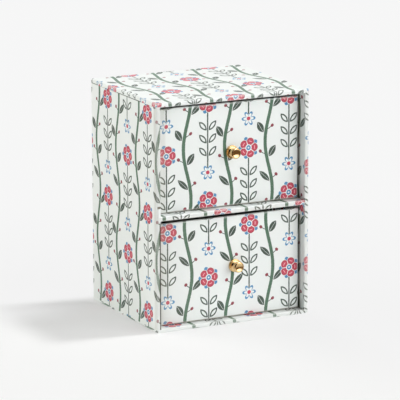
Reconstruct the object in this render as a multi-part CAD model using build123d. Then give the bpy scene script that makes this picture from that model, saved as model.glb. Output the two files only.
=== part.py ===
from build123d import *
import os

os.makedirs("parts", exist_ok=True)

# A paper-covered greyboard box with two drawers, one above the other, each pulled by a small
# brass knob. Millimetres, +Z up. The open front faces -Y, and the origin is the middle of the
# underside, where the box stands.

# Case, measured outside with its paper on
CASE_WIDTH = 149.0
CASE_DEPTH = 132.0
CASE_HEIGHT = 203.0
CASE_BOARD = 3.4
CASE_BASE_BOARD = 2.8
CASE_EDGE_RADIUS = 0.9
MOUTH_EDGE_RADIUS = 0.6

# Papers: the printed one outside and the plain one inside have the same thickness
PAPER = 0.3
CASE_TURN_IN = 16.0
DRAWER_TURN_IN = 12.0
SHEET_MARGIN = 3.0

# Drawers, and how they sit in their bays: the lower one is a little less tall and stands
# a little further forward
DRAWER_BOARD = 2.4
UPPER_DRAWER_RECESS = 10.3
LOWER_DRAWER_RECESS = 8.9
UPPER_DRAWER_TOP_GAP = 3.7
LOWER_DRAWER_TOP_GAP = 4.7
DRAWER_SIDE_GAP = 1.5
DRAWER_REAR_GAP = 1.2
DRAWER_RUNNING_GAP = 0.3
DRAWER_EDGE_RADIUS = 0.8
RIM_EDGE_RADIUS = 0.7

# Knobs, set by hand a little to the right of each drawer's middle
UPPER_KNOB_OFFSET = 3.3
UPPER_KNOB_RISE = 2.2
LOWER_KNOB_OFFSET = 5.5
LOWER_KNOB_RISE = 0.7
KNOB_LENGTH = 9.4
KNOB_FLANGE_DIAMETER = 11.7
KNOB_FLANGE_THICKNESS = 0.9
KNOB_FLANGE_CROWN = 0.7
KNOB_NECK_DIAMETER = 5.0
KNOB_HEAD_DIAMETER = 9.8
KNOB_HEAD_THICKNESS = 3.1
KNOB_FACE_DIAMETER = 7.5
KNOB_DISH_DEPTH = 0.7

# Screw and washer behind each knob
SCREW_DIAMETER = 3.0
SCREW_REACH = 5.0
SCREW_HEAD_DIAMETER = 5.6
SCREW_HEAD_HEIGHT = 1.9
SCREW_HEAD_CROWN = 1.1
SCREW_SLOT_WIDTH = 0.8
SCREW_SLOT_DEPTH = 0.9
WASHER_DIAMETER = 7.0
WASHER_THICKNESS = 0.5
THREAD_CLEARANCE = 0.05
HOLE_CLEARANCE = 0.2
BORE_SPARE = 1.0

# Worked out from the sizes above
DRAWER_NAMES = ("lower", "upper")
CASE_WALL = CASE_BOARD + 2 * PAPER
CASE_BASE_WALL = CASE_BASE_BOARD + 2 * PAPER
DRAWER_WALL = DRAWER_BOARD + 2 * PAPER
BAY_WIDTH = CASE_WIDTH - 2 * CASE_WALL
BAY_HEIGHT = (CASE_HEIGHT - CASE_BASE_WALL) / len(DRAWER_NAMES) - CASE_WALL
FRONT = -CASE_DEPTH / 2
REAR = CASE_DEPTH / 2
BOARD_INSIDE_X = BAY_WIDTH / 2 + PAPER
BOARD_INSIDE_REAR = REAR - PAPER - CASE_BOARD
BASE_BOARD_TOP = PAPER + CASE_BASE_BOARD
TOP_BOARD_UNDERSIDE = CASE_HEIGHT - PAPER - CASE_BOARD
SCREW_HOLE_RADIUS = SCREW_DIAMETER / 2 + HOLE_CLEARANCE
DRAWER_RECESSES = {"upper": UPPER_DRAWER_RECESS, "lower": LOWER_DRAWER_RECESS}
DRAWER_TOP_GAPS = {"upper": UPPER_DRAWER_TOP_GAP, "lower": LOWER_DRAWER_TOP_GAP}
DRAWER_DEPTH = CASE_DEPTH - CASE_WALL - DRAWER_REAR_GAP - max(DRAWER_RECESSES.values())
KNOB_OFFSETS = {"upper": UPPER_KNOB_OFFSET, "lower": LOWER_KNOB_OFFSET}
KNOB_RISES = {"upper": UPPER_KNOB_RISE, "lower": LOWER_KNOB_RISE}


def block(low, high):
    """A box between two opposite corners."""
    size = Vector(*high) - Vector(*low)
    return Pos(*low) * Box(size.X, size.Y, size.Z, align=(Align.MIN, Align.MIN, Align.MIN))


def soft_block(low, high, radius):
    """A box whose edges are all rounded."""
    body = block(low, high)
    return fillet(body.edges(), radius)


def bay_floor(index):
    """Height of the papered floor that a drawer stands on."""
    return CASE_BASE_WALL + index * (BAY_HEIGHT + CASE_WALL)


def bay_space(index, skin):
    """The room for one drawer, larger by the paper's thickness where skin is given."""
    floor = bay_floor(index)
    low = (-BAY_WIDTH / 2 - skin, FRONT - CASE_WALL, floor - skin)
    high = (BAY_WIDTH / 2 + skin, REAR - CASE_WALL + skin, floor + BAY_HEIGHT + skin)
    return block(low, high)


def casing(skin):
    """The whole case at a depth of skin under its papered surface."""
    low = (-CASE_WIDTH / 2 + skin, FRONT + skin, skin)
    high = (CASE_WIDTH / 2 - skin, REAR - skin, CASE_HEIGHT - skin)
    body = soft_block(low, high, CASE_EDGE_RADIUS - skin)
    for index in range(len(DRAWER_NAMES)):
        body -= bay_space(index, skin)
    front = body.faces().sort_by(Axis.Y)[0]
    mouth = [edge for wire in front.inner_wires() for edge in wire.edges()]
    return fillet(mouth, MOUTH_EDGE_RADIUS - skin)


def case_board_spaces():
    """Where each board of the case lies: the sides run full height, the rest between them."""
    side = CASE_WIDTH / 2
    inside = BOARD_INSIDE_X
    shelf_underside = bay_floor(1) - PAPER - CASE_BOARD
    shelf_top = bay_floor(1) - PAPER
    return {
        "case_left_board": block((-side, FRONT, 0), (-inside, REAR, CASE_HEIGHT)),
        "case_right_board": block((inside, FRONT, 0), (side, REAR, CASE_HEIGHT)),
        "case_top_board": block((-inside, FRONT, TOP_BOARD_UNDERSIDE), (inside, REAR, CASE_HEIGHT)),
        "case_base_board": block((-inside, FRONT, 0), (inside, REAR, BASE_BOARD_TOP)),
        "case_back_board": block(
            (-inside, BOARD_INSIDE_REAR, BASE_BOARD_TOP), (inside, REAR, TOP_BOARD_UNDERSIDE)
        ),
        "shelf_board": block(
            (-inside, FRONT, shelf_underside), (inside, BOARD_INSIDE_REAR, shelf_top)
        ),
    }


def case_sheet_spaces():
    """Where each separate sheet of the case lies; the outer wrap is what is left."""
    margin_x = CASE_WIDTH / 2 - SHEET_MARGIN
    sheets = {
        "base_paper": block(
            (-margin_x, FRONT + SHEET_MARGIN, 0), (margin_x, REAR - SHEET_MARGIN, PAPER)
        ),
        "back_paper": block(
            (-margin_x, REAR - PAPER, SHEET_MARGIN), (margin_x, REAR, CASE_HEIGHT - SHEET_MARGIN)
        ),
        "shelf_edge_strip": block(
            (-BAY_WIDTH / 2, FRONT, bay_floor(1) - CASE_WALL),
            (BAY_WIDTH / 2, FRONT + CASE_TURN_IN, bay_floor(1)),
        ),
    }
    for index, name in enumerate(DRAWER_NAMES):
        floor = bay_floor(index)
        sheets[f"{name}_bay_lining"] = block(
            (-BOARD_INSIDE_X, FRONT + CASE_TURN_IN, floor - PAPER),
            (BOARD_INSIDE_X, BOARD_INSIDE_REAR, floor + BAY_HEIGHT + PAPER),
        )
    return sheets


def make_case():
    """Boards and papers of the case, by node name."""
    core = casing(PAPER)
    paper = casing(0) - core
    pieces = {name: core & space for name, space in case_board_spaces().items()}
    wrap = paper
    for name, space in case_sheet_spaces().items():
        pieces[name] = paper & space
        wrap -= space
    pieces["case_wrap"] = wrap
    return pieces


def drawer_corners(index):
    """Opposite corners of a closed drawer, with its paper on."""
    name = DRAWER_NAMES[index]
    floor = bay_floor(index)
    front = FRONT + DRAWER_RECESSES[name]
    half_width = BAY_WIDTH / 2 - DRAWER_SIDE_GAP
    low = Vector(-half_width, front, floor + DRAWER_RUNNING_GAP)
    high = Vector(half_width, front + DRAWER_DEPTH, floor + BAY_HEIGHT - DRAWER_TOP_GAPS[name])
    return low, high


def tray(index, skin):
    """A whole drawer at a depth of skin under its papered surface, open at the top."""
    low, high = drawer_corners(index)
    cover = Vector(skin, skin, skin)
    body = soft_block(low + cover, high - cover, DRAWER_EDGE_RADIUS - skin)
    wall = DRAWER_WALL - skin
    hollow = block(
        (low.X + wall, low.Y + wall, low.Z + wall),
        (high.X - wall, high.Y - wall, high.Z + DRAWER_WALL),
    )
    body -= hollow
    rim = body.faces().sort_by(Axis.Z)[-1]
    mouth = [edge for wire in rim.inner_wires() for edge in wire.edges()]
    return fillet(mouth, RIM_EDGE_RADIUS - skin)


def drawer_board_spaces(index):
    """Where each board of a drawer lies: front and back run full width, the floor goes inside."""
    low, high = drawer_corners(index)
    thick = PAPER + DRAWER_BOARD
    left, right = low.X + thick, high.X - thick
    front, back = low.Y + thick, high.Y - thick
    floor = low.Z + thick
    return {
        "front_board": block((low.X, low.Y, low.Z), (high.X, front, high.Z)),
        "back_board": block((low.X, back, low.Z), (high.X, high.Y, high.Z)),
        "left_board": block((low.X, front, low.Z), (left, back, high.Z)),
        "right_board": block((right, front, low.Z), (high.X, back, high.Z)),
        "base_board": block((left, front, low.Z), (right, back, floor)),
    }


def lining_space(index):
    """The papered inside of a drawer below the printed paper that is folded over its rim."""
    low, high = drawer_corners(index)
    thick = PAPER + DRAWER_BOARD
    return block(
        (low.X + thick, low.Y + thick, low.Z + thick),
        (high.X - thick, high.Y - thick, high.Z - DRAWER_TURN_IN),
    )


def knob_plane(index):
    """Where a knob stands on its drawer's front, its own +Z pointing out of the box."""
    low, high = drawer_corners(index)
    name = DRAWER_NAMES[index]
    middle = (low + high) / 2
    seat = (middle.X + KNOB_OFFSETS[name], low.Y, middle.Z + KNOB_RISES[name])
    return Plane(origin=seat, x_dir=(1, 0, 0), z_dir=(0, -1, 0))


def cap_radius(half_width, height):
    """Radius of the arc that rises by height over half_width and is level on the axis."""
    return (half_width ** 2 + height ** 2) / (2 * height)


def turned(outline):
    """A solid turned about Z from a closed half section in radius and height."""
    return revolve(Plane.XZ * make_face(outline), Axis.Z)


def make_knob():
    """A turned knob: crowned flange, waisted neck, round-rimmed head with a dished face."""
    flange_edge = KNOB_FLANGE_DIAMETER / 2
    crown_edge = flange_edge - KNOB_FLANGE_CROWN
    crown_top = KNOB_FLANGE_THICKNESS + KNOB_FLANGE_CROWN
    face_edge = KNOB_FACE_DIAMETER / 2
    head_back = KNOB_LENGTH - KNOB_HEAD_THICKNESS
    foot = (0, 0)
    flange_corner = (flange_edge, 0)
    crown_start = (flange_edge, KNOB_FLANGE_THICKNESS)
    crown_end = (crown_edge, crown_top)
    waist = (KNOB_NECK_DIAMETER / 2, (crown_top + head_back) / 2)
    head_start = (face_edge, head_back)
    head_side = (KNOB_HEAD_DIAMETER / 2, KNOB_LENGTH - KNOB_HEAD_THICKNESS / 2)
    face_rim = (face_edge, KNOB_LENGTH)
    dish_bottom = (0, KNOB_LENGTH - KNOB_DISH_DEPTH)
    solid = turned([
        Line(foot, flange_corner),
        Line(flange_corner, crown_start),
        RadiusArc(crown_start, crown_end, -KNOB_FLANGE_CROWN),
        ThreePointArc(crown_end, waist, head_start),
        ThreePointArc(head_start, head_side, face_rim),
        RadiusArc(face_rim, dish_bottom, cap_radius(face_edge, KNOB_DISH_DEPTH)),
        Line(dish_bottom, foot),
    ])
    bore = Cylinder(
        SCREW_DIAMETER / 2 + THREAD_CLEARANCE,
        SCREW_REACH + BORE_SPARE,
        align=(Align.CENTER, Align.CENTER, Align.MIN),
    )
    return solid - bore


def make_washer():
    """The washer between the drawer's lining and the screw's head."""
    seat = -DRAWER_WALL
    ring = Cylinder(WASHER_DIAMETER / 2, WASHER_THICKNESS) - Cylinder(SCREW_HOLE_RADIUS, WASHER_THICKNESS)
    return Pos(0, 0, seat - WASHER_THICKNESS / 2) * ring


def make_screw():
    """A round-headed screw that comes from inside the drawer and pulls the knob tight."""
    seat = -DRAWER_WALL - WASHER_THICKNESS
    top = seat - SCREW_HEAD_HEIGHT
    rim = seat - SCREW_HEAD_HEIGHT + SCREW_HEAD_CROWN
    head_edge = SCREW_HEAD_DIAMETER / 2
    shank_edge = SCREW_DIAMETER / 2
    solid = turned([
        Line((0, top), (0, SCREW_REACH)),
        Line((0, SCREW_REACH), (shank_edge, SCREW_REACH)),
        Line((shank_edge, SCREW_REACH), (shank_edge, seat)),
        Line((shank_edge, seat), (head_edge, seat)),
        Line((head_edge, seat), (head_edge, rim)),
        RadiusArc((head_edge, rim), (0, top), cap_radius(head_edge, SCREW_HEAD_CROWN)),
    ])
    slot = Pos(0, 0, top + SCREW_SLOT_DEPTH / 2) * Box(
        SCREW_HEAD_DIAMETER, SCREW_SLOT_WIDTH, SCREW_SLOT_DEPTH
    )
    return solid - slot


def make_drawer(index):
    """Boards, papers and knob of one drawer, by node name."""
    name = DRAWER_NAMES[index]
    core = tray(index, PAPER)
    paper = tray(index, 0) - core
    place = knob_plane(index)
    hole = place * Cylinder(SCREW_HOLE_RADIUS, 2 * DRAWER_WALL + CASE_WALL)
    pieces = {f"{name}_drawer_{board}": core & space for board, space in drawer_board_spaces(index).items()}
    pieces[f"{name}_drawer_front_board"] -= hole
    lining = lining_space(index)
    pieces[f"{name}_drawer_lining"] = (paper & lining) - hole
    pieces[f"{name}_drawer_wrap"] = paper - lining - hole
    pieces[f"{name}_knob"] = place * make_knob()
    pieces[f"{name}_knob_washer"] = place * make_washer()
    pieces[f"{name}_knob_screw"] = place * make_screw()
    return pieces


nodes = make_case()
for drawer_index in range(len(DRAWER_NAMES)):
    nodes.update(make_drawer(drawer_index))
for node_name, node_shape in nodes.items():
    export_step(node_shape, f"parts/{node_name}.step")
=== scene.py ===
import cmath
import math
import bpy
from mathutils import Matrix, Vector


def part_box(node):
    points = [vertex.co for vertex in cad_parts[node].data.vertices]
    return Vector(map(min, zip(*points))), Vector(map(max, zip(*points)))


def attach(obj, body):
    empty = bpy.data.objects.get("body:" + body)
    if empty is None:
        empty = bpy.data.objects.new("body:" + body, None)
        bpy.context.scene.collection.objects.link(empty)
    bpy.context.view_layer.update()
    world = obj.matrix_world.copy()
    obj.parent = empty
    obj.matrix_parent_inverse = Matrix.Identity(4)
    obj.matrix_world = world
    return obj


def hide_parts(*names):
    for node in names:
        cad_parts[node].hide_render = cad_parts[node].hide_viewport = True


bl_info = {
    "name": "Drawer Storage Box",
    "version": (1, 0, 0),
    "blender": (4, 5, 0),
    "location": "3D View > Sidebar > Storage Box",
    "description": "Papers, knobs and studio of a two-drawer storage box",
    "category": "Object",
}

from collections import namedtuple

import bpy
import numpy as np
from bpy.props import FloatProperty, FloatVectorProperty, IntProperty, PointerProperty
from bpy.types import Operator, Panel, PropertyGroup
from mathutils import Matrix, Quaternion, Vector

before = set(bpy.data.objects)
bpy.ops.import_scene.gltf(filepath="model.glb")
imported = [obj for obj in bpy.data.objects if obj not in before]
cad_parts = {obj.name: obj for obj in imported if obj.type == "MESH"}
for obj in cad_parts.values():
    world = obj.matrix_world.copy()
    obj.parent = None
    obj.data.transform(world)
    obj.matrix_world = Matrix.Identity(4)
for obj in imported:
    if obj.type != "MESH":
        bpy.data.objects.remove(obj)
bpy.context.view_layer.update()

MM = 0.001
DRAWERS = ("upper", "lower")

# The CAD part's sizes, in metres as all lengths here that have no unit
CASE_LOW, CASE_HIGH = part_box("case_wrap")
HALF_WIDTH, HALF_DEPTH, HEIGHT = CASE_HIGH
BOARD_LOW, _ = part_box("case_left_board")
COVER_DEPTH = BOARD_LOW.x - CASE_LOW.x
UPPER_DRAWER_LOW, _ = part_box("upper_drawer_wrap")
LOWER_DRAWER_LOW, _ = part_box("lower_drawer_wrap")
DRAWER_LINING_LOW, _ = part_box("upper_drawer_lining")
DRAWER_WALL = DRAWER_LINING_LOW.x - UPPER_DRAWER_LOW.x + COVER_DEPTH


def papered_bay(which):
    """Half width, floor and ceiling of a bay, inside its paper."""
    low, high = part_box(f"{which}_bay_lining")
    return high.x - COVER_DEPTH, low.z + COVER_DEPTH, high.z - COVER_DEPTH


BAY_HALF, UPPER_FLOOR, UPPER_CEILING = papered_bay("upper")
_, LOWER_FLOOR, LOWER_CEILING = papered_bay("lower")

# How the sheets are meshed and fitted
SHEET_STEP = 4 * MM  # widest cell of a sheet's grid
FOLD_STEPS = 6  # cells across a fold
HAIR = 0.001 * MM  # leeway of a grid line at a sheet's end
WELD = 0.002 * MM  # points closer than this are one
TUCK = 0.1 * MM  # how far a paper runs on under its neighbour
NOISE_APART = 7.0  # keeps the grain of one sheet from showing again on the next
WAVES_APART = 3.7  # the same for the waves of its slack

# Wear and painted shade. The first table gives millimetres from a drawer front's left edge, and the
# painted shade there
CREASE_REACH = 1.0 * MM  # how far off a fold its wear fades out
NICK_RIM = 0.4 * MM  # width of the painted shade round a nick
LEFT_EDGE_SHADE = {
    "upper": ((3, 7, 9, 14, 26, 50), (0.36, 0.34, 0.12, 0.07, 0.03, 0.0)),
    "lower": ((3, 7, 9, 14, 26, 60), (0.50, 0.32, 0.25, 0.16, 0.09, 0.0)),
}
# painted shade on a drawer front's right arris, which deepens the gap beside the case's wall
RIGHT_ARRIS_SHADE = {"upper": 0.8, "lower": 0.2}

# Directions from the box to the lights and to other parts of the sky
KEY_LIGHT = (0.4198, -0.0650, 0.9050)
OVERHEAD = (0.15, 0.00, 1.00)
FRONT_FILL = (0.52, -0.77, 0.30)
SIDE_FILL = (-0.75, 0.60, 0.30)
DARK_SIDE = (-0.55, -0.80, 0.20)
BACKDROP = (0.44, 0.87, 0.22)

FLOOR_HALF = 30.0
FLOOR_WHITE = 0.925  # level of the floor where it is lifted all the way
SENSOR_WIDTH = 36.0  # millimetres, as the lens
CAMERA_AIM = (0.0001, 0.001, 0.1015)
CAMERA_SHIFT = (0.0027, -0.01165)


# Sizes and colours that a user would change


def number(name, description, default, **limits):
    return FloatProperty(name=name, description=description, default=default, **limits)


def length(name, description, default):
    return number(name, description, default, min=0.0, unit="LENGTH", precision=5)


def angle(name, description, degrees):
    return number(name, description, math.radians(degrees), subtype="ANGLE")


def strength(name, description, default):
    return number(name, description, default, min=0.0)


def share(name, description, default):
    return number(name, description, default, min=0.0, max=1.0, subtype="FACTOR")


def colour(name, description, default):
    return FloatVectorProperty(
        name=name, description=description, default=default, min=0.0, max=1.0, subtype="COLOR"
    )


def tone(*levels):
    """Scene-linear colour of display levels from 0 to 255."""
    shares = [level / 255 for level in levels]
    return tuple(c / 12.92 if c <= 0.04045 else ((c + 0.055) / 1.055) ** 2.4 for c in shares)


def darker(shade, level):
    return tuple(level * c for c in shade)


class CoverSettings(PropertyGroup):
    thickness: length("Paper Thickness", "Thickness of the covering papers", 0.12 * MM)
    layer: length("Layer Step", "How far a paper lies below one that overlaps it", 0.12 * MM)
    slack: length("Slack", "How far a glued paper dips between its high spots", 0.07 * MM)
    slack_size: length("Slack Size", "Distance between the paper's high spots", 26 * MM)
    arris: length("Case Arris", "Outside radius of a fold over the case's edges", 0.9 * MM)
    mouth: length("Mouth Radius", "Radius at the front edge of a drawer bay", 0.6 * MM)
    drawer_arris: length("Drawer Arris", "Outside radius of a fold over a drawer's edges", 0.8 * MM)
    rim: length("Rim Radius", "Radius at the inside edge of a drawer's rim", 0.7 * MM)
    bay_turn_in: length("Bay Turn-In", "How far the cover is folded into a bay", 16 * MM)
    drawer_turn_in: length("Drawer Turn-In", "How far it is folded into a drawer", 12 * MM)
    margin: length("Margin", "Width of the folded margin round a back or base sheet", 3 * MM)
    side_margin: length("Corner Overlap", "How far a front sheet goes round its corners", 14 * MM)
    top_flap: length("Top Flap", "How far the top sheet comes down over the sides", 3.7 * MM)
    base_flap: length("Base Flap", "How far the base sheet comes up over the sides", 1.9 * MM)
    strip_end: length("Strip End", "How far the shelf strip laps over the left board", 2.0 * MM)
    tab_rise: length("Tab Rise", "How far the strip's left end stands above the shelf", 7.7 * MM)
    wall_tab: length("Wall Tab", "How far the shelf strip runs down the right wall", 10.5 * MM)


class PrintSettings(PropertyGroup):
    column: number("Column Width", "Distance between two vines, in millimetres", 40.0, min=5.0)
    drop: number("Repeat", "Height of one repeat, in millimetres", 88.0, min=10.0)
    paper: colour("Paper", "Unprinted paper", tone(243, 247, 245))
    vine: colour("Vine", "Wide stems", tone(58, 104, 74))
    leaf: colour("Leaf", "Leaves and thin stems", tone(28, 60, 41))
    blossom: colour("Blossom", "Petals of the large blossom", tone(202, 36, 72))
    deep: colour("Deep Red", "Petal tips and berries", tone(142, 14, 44))
    blush: colour("Blush", "Inner part of the petals", tone(250, 176, 186))
    sky: colour("Sky Blue", "Small flowers and sepals", tone(54, 138, 190))
    lining: colour("Lining", "Plain paper inside the bays and drawers", tone(236, 234, 226))


class KnobSettings(PropertyGroup):
    length: length("Length", "From the drawer's front to the knob's face", 9.4 * MM)
    flange_diameter: length("Flange Diameter", "Foot that rests on the drawer", 11.7 * MM)
    flange_thickness: length("Flange Thickness", "Straight part of the foot's edge", 0.9 * MM)
    flange_crown: length("Flange Crown", "Rounding above the foot's edge", 0.7 * MM)
    neck_diameter: length("Neck Diameter", "Narrowest part", 5.0 * MM)
    head_diameter: length("Head Diameter", "Widest part of the head", 9.8 * MM)
    head_thickness: length("Head Thickness", "Height of the head's round rim", 3.1 * MM)
    face_diameter: length("Face Diameter", "Edge of the dished face", 7.5 * MM)
    dish: length("Dish", "Depth of the dished face", 0.7 * MM)
    sides: IntProperty(name="Sides", description="Facets round the knob", default=72, min=12)
    brass: colour("Brass", "Polished brass", (0.86, 0.62, 0.32))


class StudioSettings(PropertyGroup):
    azimuth: angle("Azimuth", "Camera's turn round the box", -26.9)
    elevation: angle("Elevation", "Camera's height angle", 12.85)
    roll: angle("Roll", "Camera's tilt to one side", -0.15)
    distance: length("Distance", "From the camera to the middle of the box", 2.691)
    lens: number("Lens", "Focal length in millimetres", 272.2, min=1.0, unit="CAMERA")
    sky: strength("Sky", "Strength of the light all round", 0.12)
    horizon: share("Horizon", "Share of the light that is lacking just above the floor", 0.4)
    dark: share("Dark Side", "Share of the light that is lacking behind the camera", 0.8)
    front_fill: strength("Front Fill", "Strength of the low light from the front right", 2.74)
    side_fill: strength("Side Fill", "Strength of the low light from the left", 2.66)
    key: strength("Key", "Strength of the soft key light", 1.36)
    key_softness: angle("Key Softness", "Angle that the key light fills", 8)
    gleam: strength("Gleam", "Strength of the panel above that only metal shows", 1.3)
    floor: colour("Floor", "Pale floor", (0.935, 0.935, 0.935))
    floor_lift: share("Floor Lift", "Part of the floor's white that shows without shadow", 0.3)
    clear_floor: share("Clear Floor", "The same behind the shadow and right of the box", 0.92)
    far_floor: share("Far Floor", "How dark the far floor is where metal shows it", 0.95)


def settings(group):
    """The values of the group cover, print, knob or studio."""
    return getattr(bpy.context.scene, f"storage_box_{group}")


# Node trees. Sums are written as arithmetic on the sockets' values


class Value:
    """An output socket of a node, for sums and as the input of other nodes."""

    def __init__(self, socket):
        self.socket = socket
        self.tree = socket.id_data

    def math(self, operation, *others, clamp=False):
        return math_node(operation, self, *others, clamp=clamp)

    def __add__(self, other):
        return self.math("ADD", other)

    __radd__ = __add__

    def __sub__(self, other):
        return self.math("SUBTRACT", other)

    def __rsub__(self, other):
        return math_node("SUBTRACT", other, self)

    def __mul__(self, other):
        return self.math("MULTIPLY", other)

    __rmul__ = __mul__

    def __truediv__(self, other):
        return self.math("DIVIDE", other)

    def __rtruediv__(self, other):
        return math_node("DIVIDE", other, self)

    def __mod__(self, other):
        return self.math("FLOORED_MODULO", other)

    def __abs__(self):
        return self.math("ABSOLUTE")

    def at_most(self, other):
        return self.math("MINIMUM", other)

    def at_least(self, other):
        return self.math("MAXIMUM", other)


def connect(socket, operand):
    """Link a Value to the socket, or leave a constant on it."""
    if isinstance(operand, Value):
        operand.tree.links.new(operand.socket, socket)
    else:
        socket.default_value = operand


def new_node(tree, kind, inputs=(), **options):
    """A node with its options set first, and then its inputs, by their names or numbers."""
    node = tree.nodes.new(kind)
    for name, option in options.items():
        setattr(node, name, option)
    for socket, operand in dict(inputs).items():
        connect(node.inputs[socket], operand)
    return node


def result(tree, kind, inputs=(), output=0, **options):
    """An output of a new node."""
    return Value(new_node(tree, kind, inputs, **options).outputs[output])


def tree_of(operands):
    return next(operand.tree for operand in operands if isinstance(operand, Value))


def math_node(operation, *operands, clamp=False):
    numbered = enumerate(operands)
    return result(
        tree_of(operands), "ShaderNodeMath", numbered, operation=operation, use_clamp=clamp
    )


def vector_of(*parts):
    return result(tree_of(parts), "ShaderNodeCombineXYZ", enumerate(parts))


def parts_of(vector):
    node = new_node(vector.tree, "ShaderNodeSeparateXYZ", {0: vector})
    return [Value(output) for output in node.outputs]


def vector_math(operation, inputs, output=0):
    return result(inputs[0].tree, "ShaderNodeVectorMath", inputs, output, operation=operation)


def dot_product(first, second):
    return vector_math("DOT_PRODUCT", {0: first, 1: second}, "Value")


def noise(place, scale, detail=2.0, roughness=0.5, output=0):
    inputs = {"Vector": place, "Scale": scale, "Detail": detail, "Roughness": roughness}
    return result(place.tree, "ShaderNodeTexNoise", inputs, output)


def remap(value, from_low, from_high, to_low=0.0, to_high=1.0):
    inputs = enumerate((value, from_low, from_high, to_low, to_high))
    return result(value.tree, "ShaderNodeMapRange", inputs)


def mixed(factor, first, second):
    """first where factor is 0, second where it is 1; each is a colour or a colour socket."""
    inputs = {0: factor}
    for socket, shade in ((6, first), (7, second)):
        inputs[socket] = shade if isinstance(shade, Value) else (*shade, 1.0)
    return result(factor.tree, "ShaderNodeMix", inputs, 2, data_type="RGBA")


def path_kind(tree, kind):
    """1 for that kind of ray, and 0 for every other."""
    return result(tree, "ShaderNodeLightPath", output=kind)


def own_place(tree):
    """The object's own coordinates, in metres."""
    return result(tree, "ShaderNodeTexCoord", output="Object")


def mesh_vector(tree, name):
    """A vector that the mesh holds under that name."""
    return result(tree, "ShaderNodeAttribute", output="Vector", attribute_name=name)


def once(blocks, name, make):
    """The data block of that name, made when it is first asked for."""
    return blocks.get(name) or make(name)


# The print, with all its sizes in millimetres on the sheet

INK_EDGE = 0.14  # width over which a shape's edge fades


def ink(distance):
    """1 inside a shape and 0 outside, from the signed distance to its outline."""
    return distance.math("MULTIPLY_ADD", -1 / INK_EDGE, 0.5, clamp=True)


def root_of_squares(x, y):
    return (x * x + y * y).math("SQRT")


def turned_by(x, y, degrees):
    """Coordinates across and along a shape that leans by that angle from upright."""
    c, s = math.cos(math.radians(degrees)), math.sin(math.radians(degrees))
    return x * c - y * s, x * s + y * c


def leaf_shape(x, y, long, wide):
    """Signed distance to a pointed leaf, upright on the origin."""
    radius = (long * long + wide * wide) / (4 * wide)
    return root_of_squares(abs(x) + (radius - wide / 2), y) - radius


def columns(x, y, look, offset):
    """Coordinates from the middle of each column, with every other column dropped by half."""
    shifted = x + offset
    index = (shifted / look.column).math("FLOOR")
    across = shifted - (index + 0.5) * look.column
    along = (y + (index % 2.0) * (look.drop / 2)) % look.drop
    return across, along


def paint(layers, ground):
    """Lays each layer's shade over the ground where its mask is 1."""
    for mask, shade in layers:
        ground = mixed(mask, ground, shade)
    return ground


def vine_layers(x, y, look):
    """Wide vines that meander side by side, with leaves by turns and berries across from them."""
    meander, half_vine, half_rib, half_stalk = 3.6, 1.6, 0.16, 0.42
    across, along = columns(x, y, look, look.column / 2)
    from_vine = across - (y * (2 * math.pi / look.drop)).math("SINE") * meander
    spacing = look.drop / 4
    hand = 1.0 - 2.0 * ((along / spacing).math("FLOOR") % 2.0)
    beside = from_vine * hand
    up = (along % spacing) - spacing / 2
    over, upright = turned_by(beside - 6.2, up - 2.2, degrees=40)
    leaf = leaf_shape(over, upright, long=12.4, wide=5.4)
    rib = (abs(over) - half_rib).at_least(leaf + 0.7)
    berry = root_of_squares(beside + 5.4, up - 2.8) - 1.5
    stalk_place = beside + 3.2
    slope = abs(up - 1.2 + stalk_place * 0.6)
    stalk = (slope - half_stalk).at_least(abs(stalk_place) - 2.1)
    return [
        (ink(stalk), look.leaf),
        (ink(berry), look.deep),
        (ink(leaf), look.leaf),
        (ink(rib) * 0.8, look.paper),
        (ink(abs(from_vine) - half_vine), look.vine),
    ]


def blossom_layers(x, y, look, size):
    """Five round red petals over pointed blue sepals, with a ringed eye."""
    radius = root_of_squares(x, y)
    half_angle = y.math("ARCTAN2", x) * 2.5
    lobe = abs(half_angle.math("COSINE"))
    point = abs(half_angle.math("SINE"))
    sepals = radius - (point.math("POWER", 3.0) * 0.34 + 0.76) * size
    petals = radius - (lobe.math("POWER", 0.5) * 0.42 + 0.56) * size
    seam = (radius * lobe * 0.4 - 0.32).at_least(petals)
    fleck = (abs(radius - size * 0.64) - 0.34).at_least((0.80 - lobe) * size)
    return [
        (ink(sepals), look.sky),
        (ink(petals - 0.6), look.paper),
        (ink(petals), look.blossom),
        (ink(abs(petals + 0.5) - 0.3) * 0.6, look.deep),
        (ink(fleck), look.blush),
        (ink(seam), look.paper),
        (ink(radius - size * 0.33), look.paper),
        (ink(radius - size * 0.24), look.sky),
        (ink(radius - size * 0.09), look.paper),
    ]


def daisy_layers(x, y, look, size):
    """Six outlined petals round a red eye."""
    radius = root_of_squares(x, y)
    lobe = abs((y.math("ARCTAN2", x) * 3.0).math("COSINE"))
    petals = radius - (lobe.math("POWER", 0.8) * 0.72 + 0.28) * size
    return [
        (ink(petals), look.sky),
        (ink(petals + size * 0.26), look.paper),
        (ink(radius - size * 0.38), look.paper),
        (ink(radius - size * 0.26), look.blossom),
    ]


def sprig_layers(x, y, look):
    """Between the vines: a stem with pairs of open leaves, a blossom above and a daisy below."""
    half_stem, half_outline = 0.62, 0.6
    across, along = columns(x, y, look, 0.0)
    foot, top = 12.0, look.drop - 42.0
    beyond = abs(along - (foot + top) / 2) - (top - foot) / 2
    stem = (abs(across) - half_stem).at_least(beyond - 8.0)
    spacing = (top - foot) / 3
    up = ((along - foot) % spacing) - spacing / 2
    over, upright = turned_by(abs(across) - 4.7, up - 1.0, degrees=42)
    leaf = leaf_shape(over, upright, long=10.8, wide=4.8).at_least(beyond)
    outline = abs(leaf + half_outline) - half_outline
    bud_up = along - (look.drop - 26.0)
    daisy_up = (along + look.drop / 2) % look.drop - look.drop / 2
    layers = [(ink(stem), look.leaf), (ink(outline), look.leaf)]
    layers += blossom_layers(across, bud_up, look, size=9.2)
    layers += daisy_layers(across, daisy_up, look, size=6.8)
    return layers


# Materials


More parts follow.
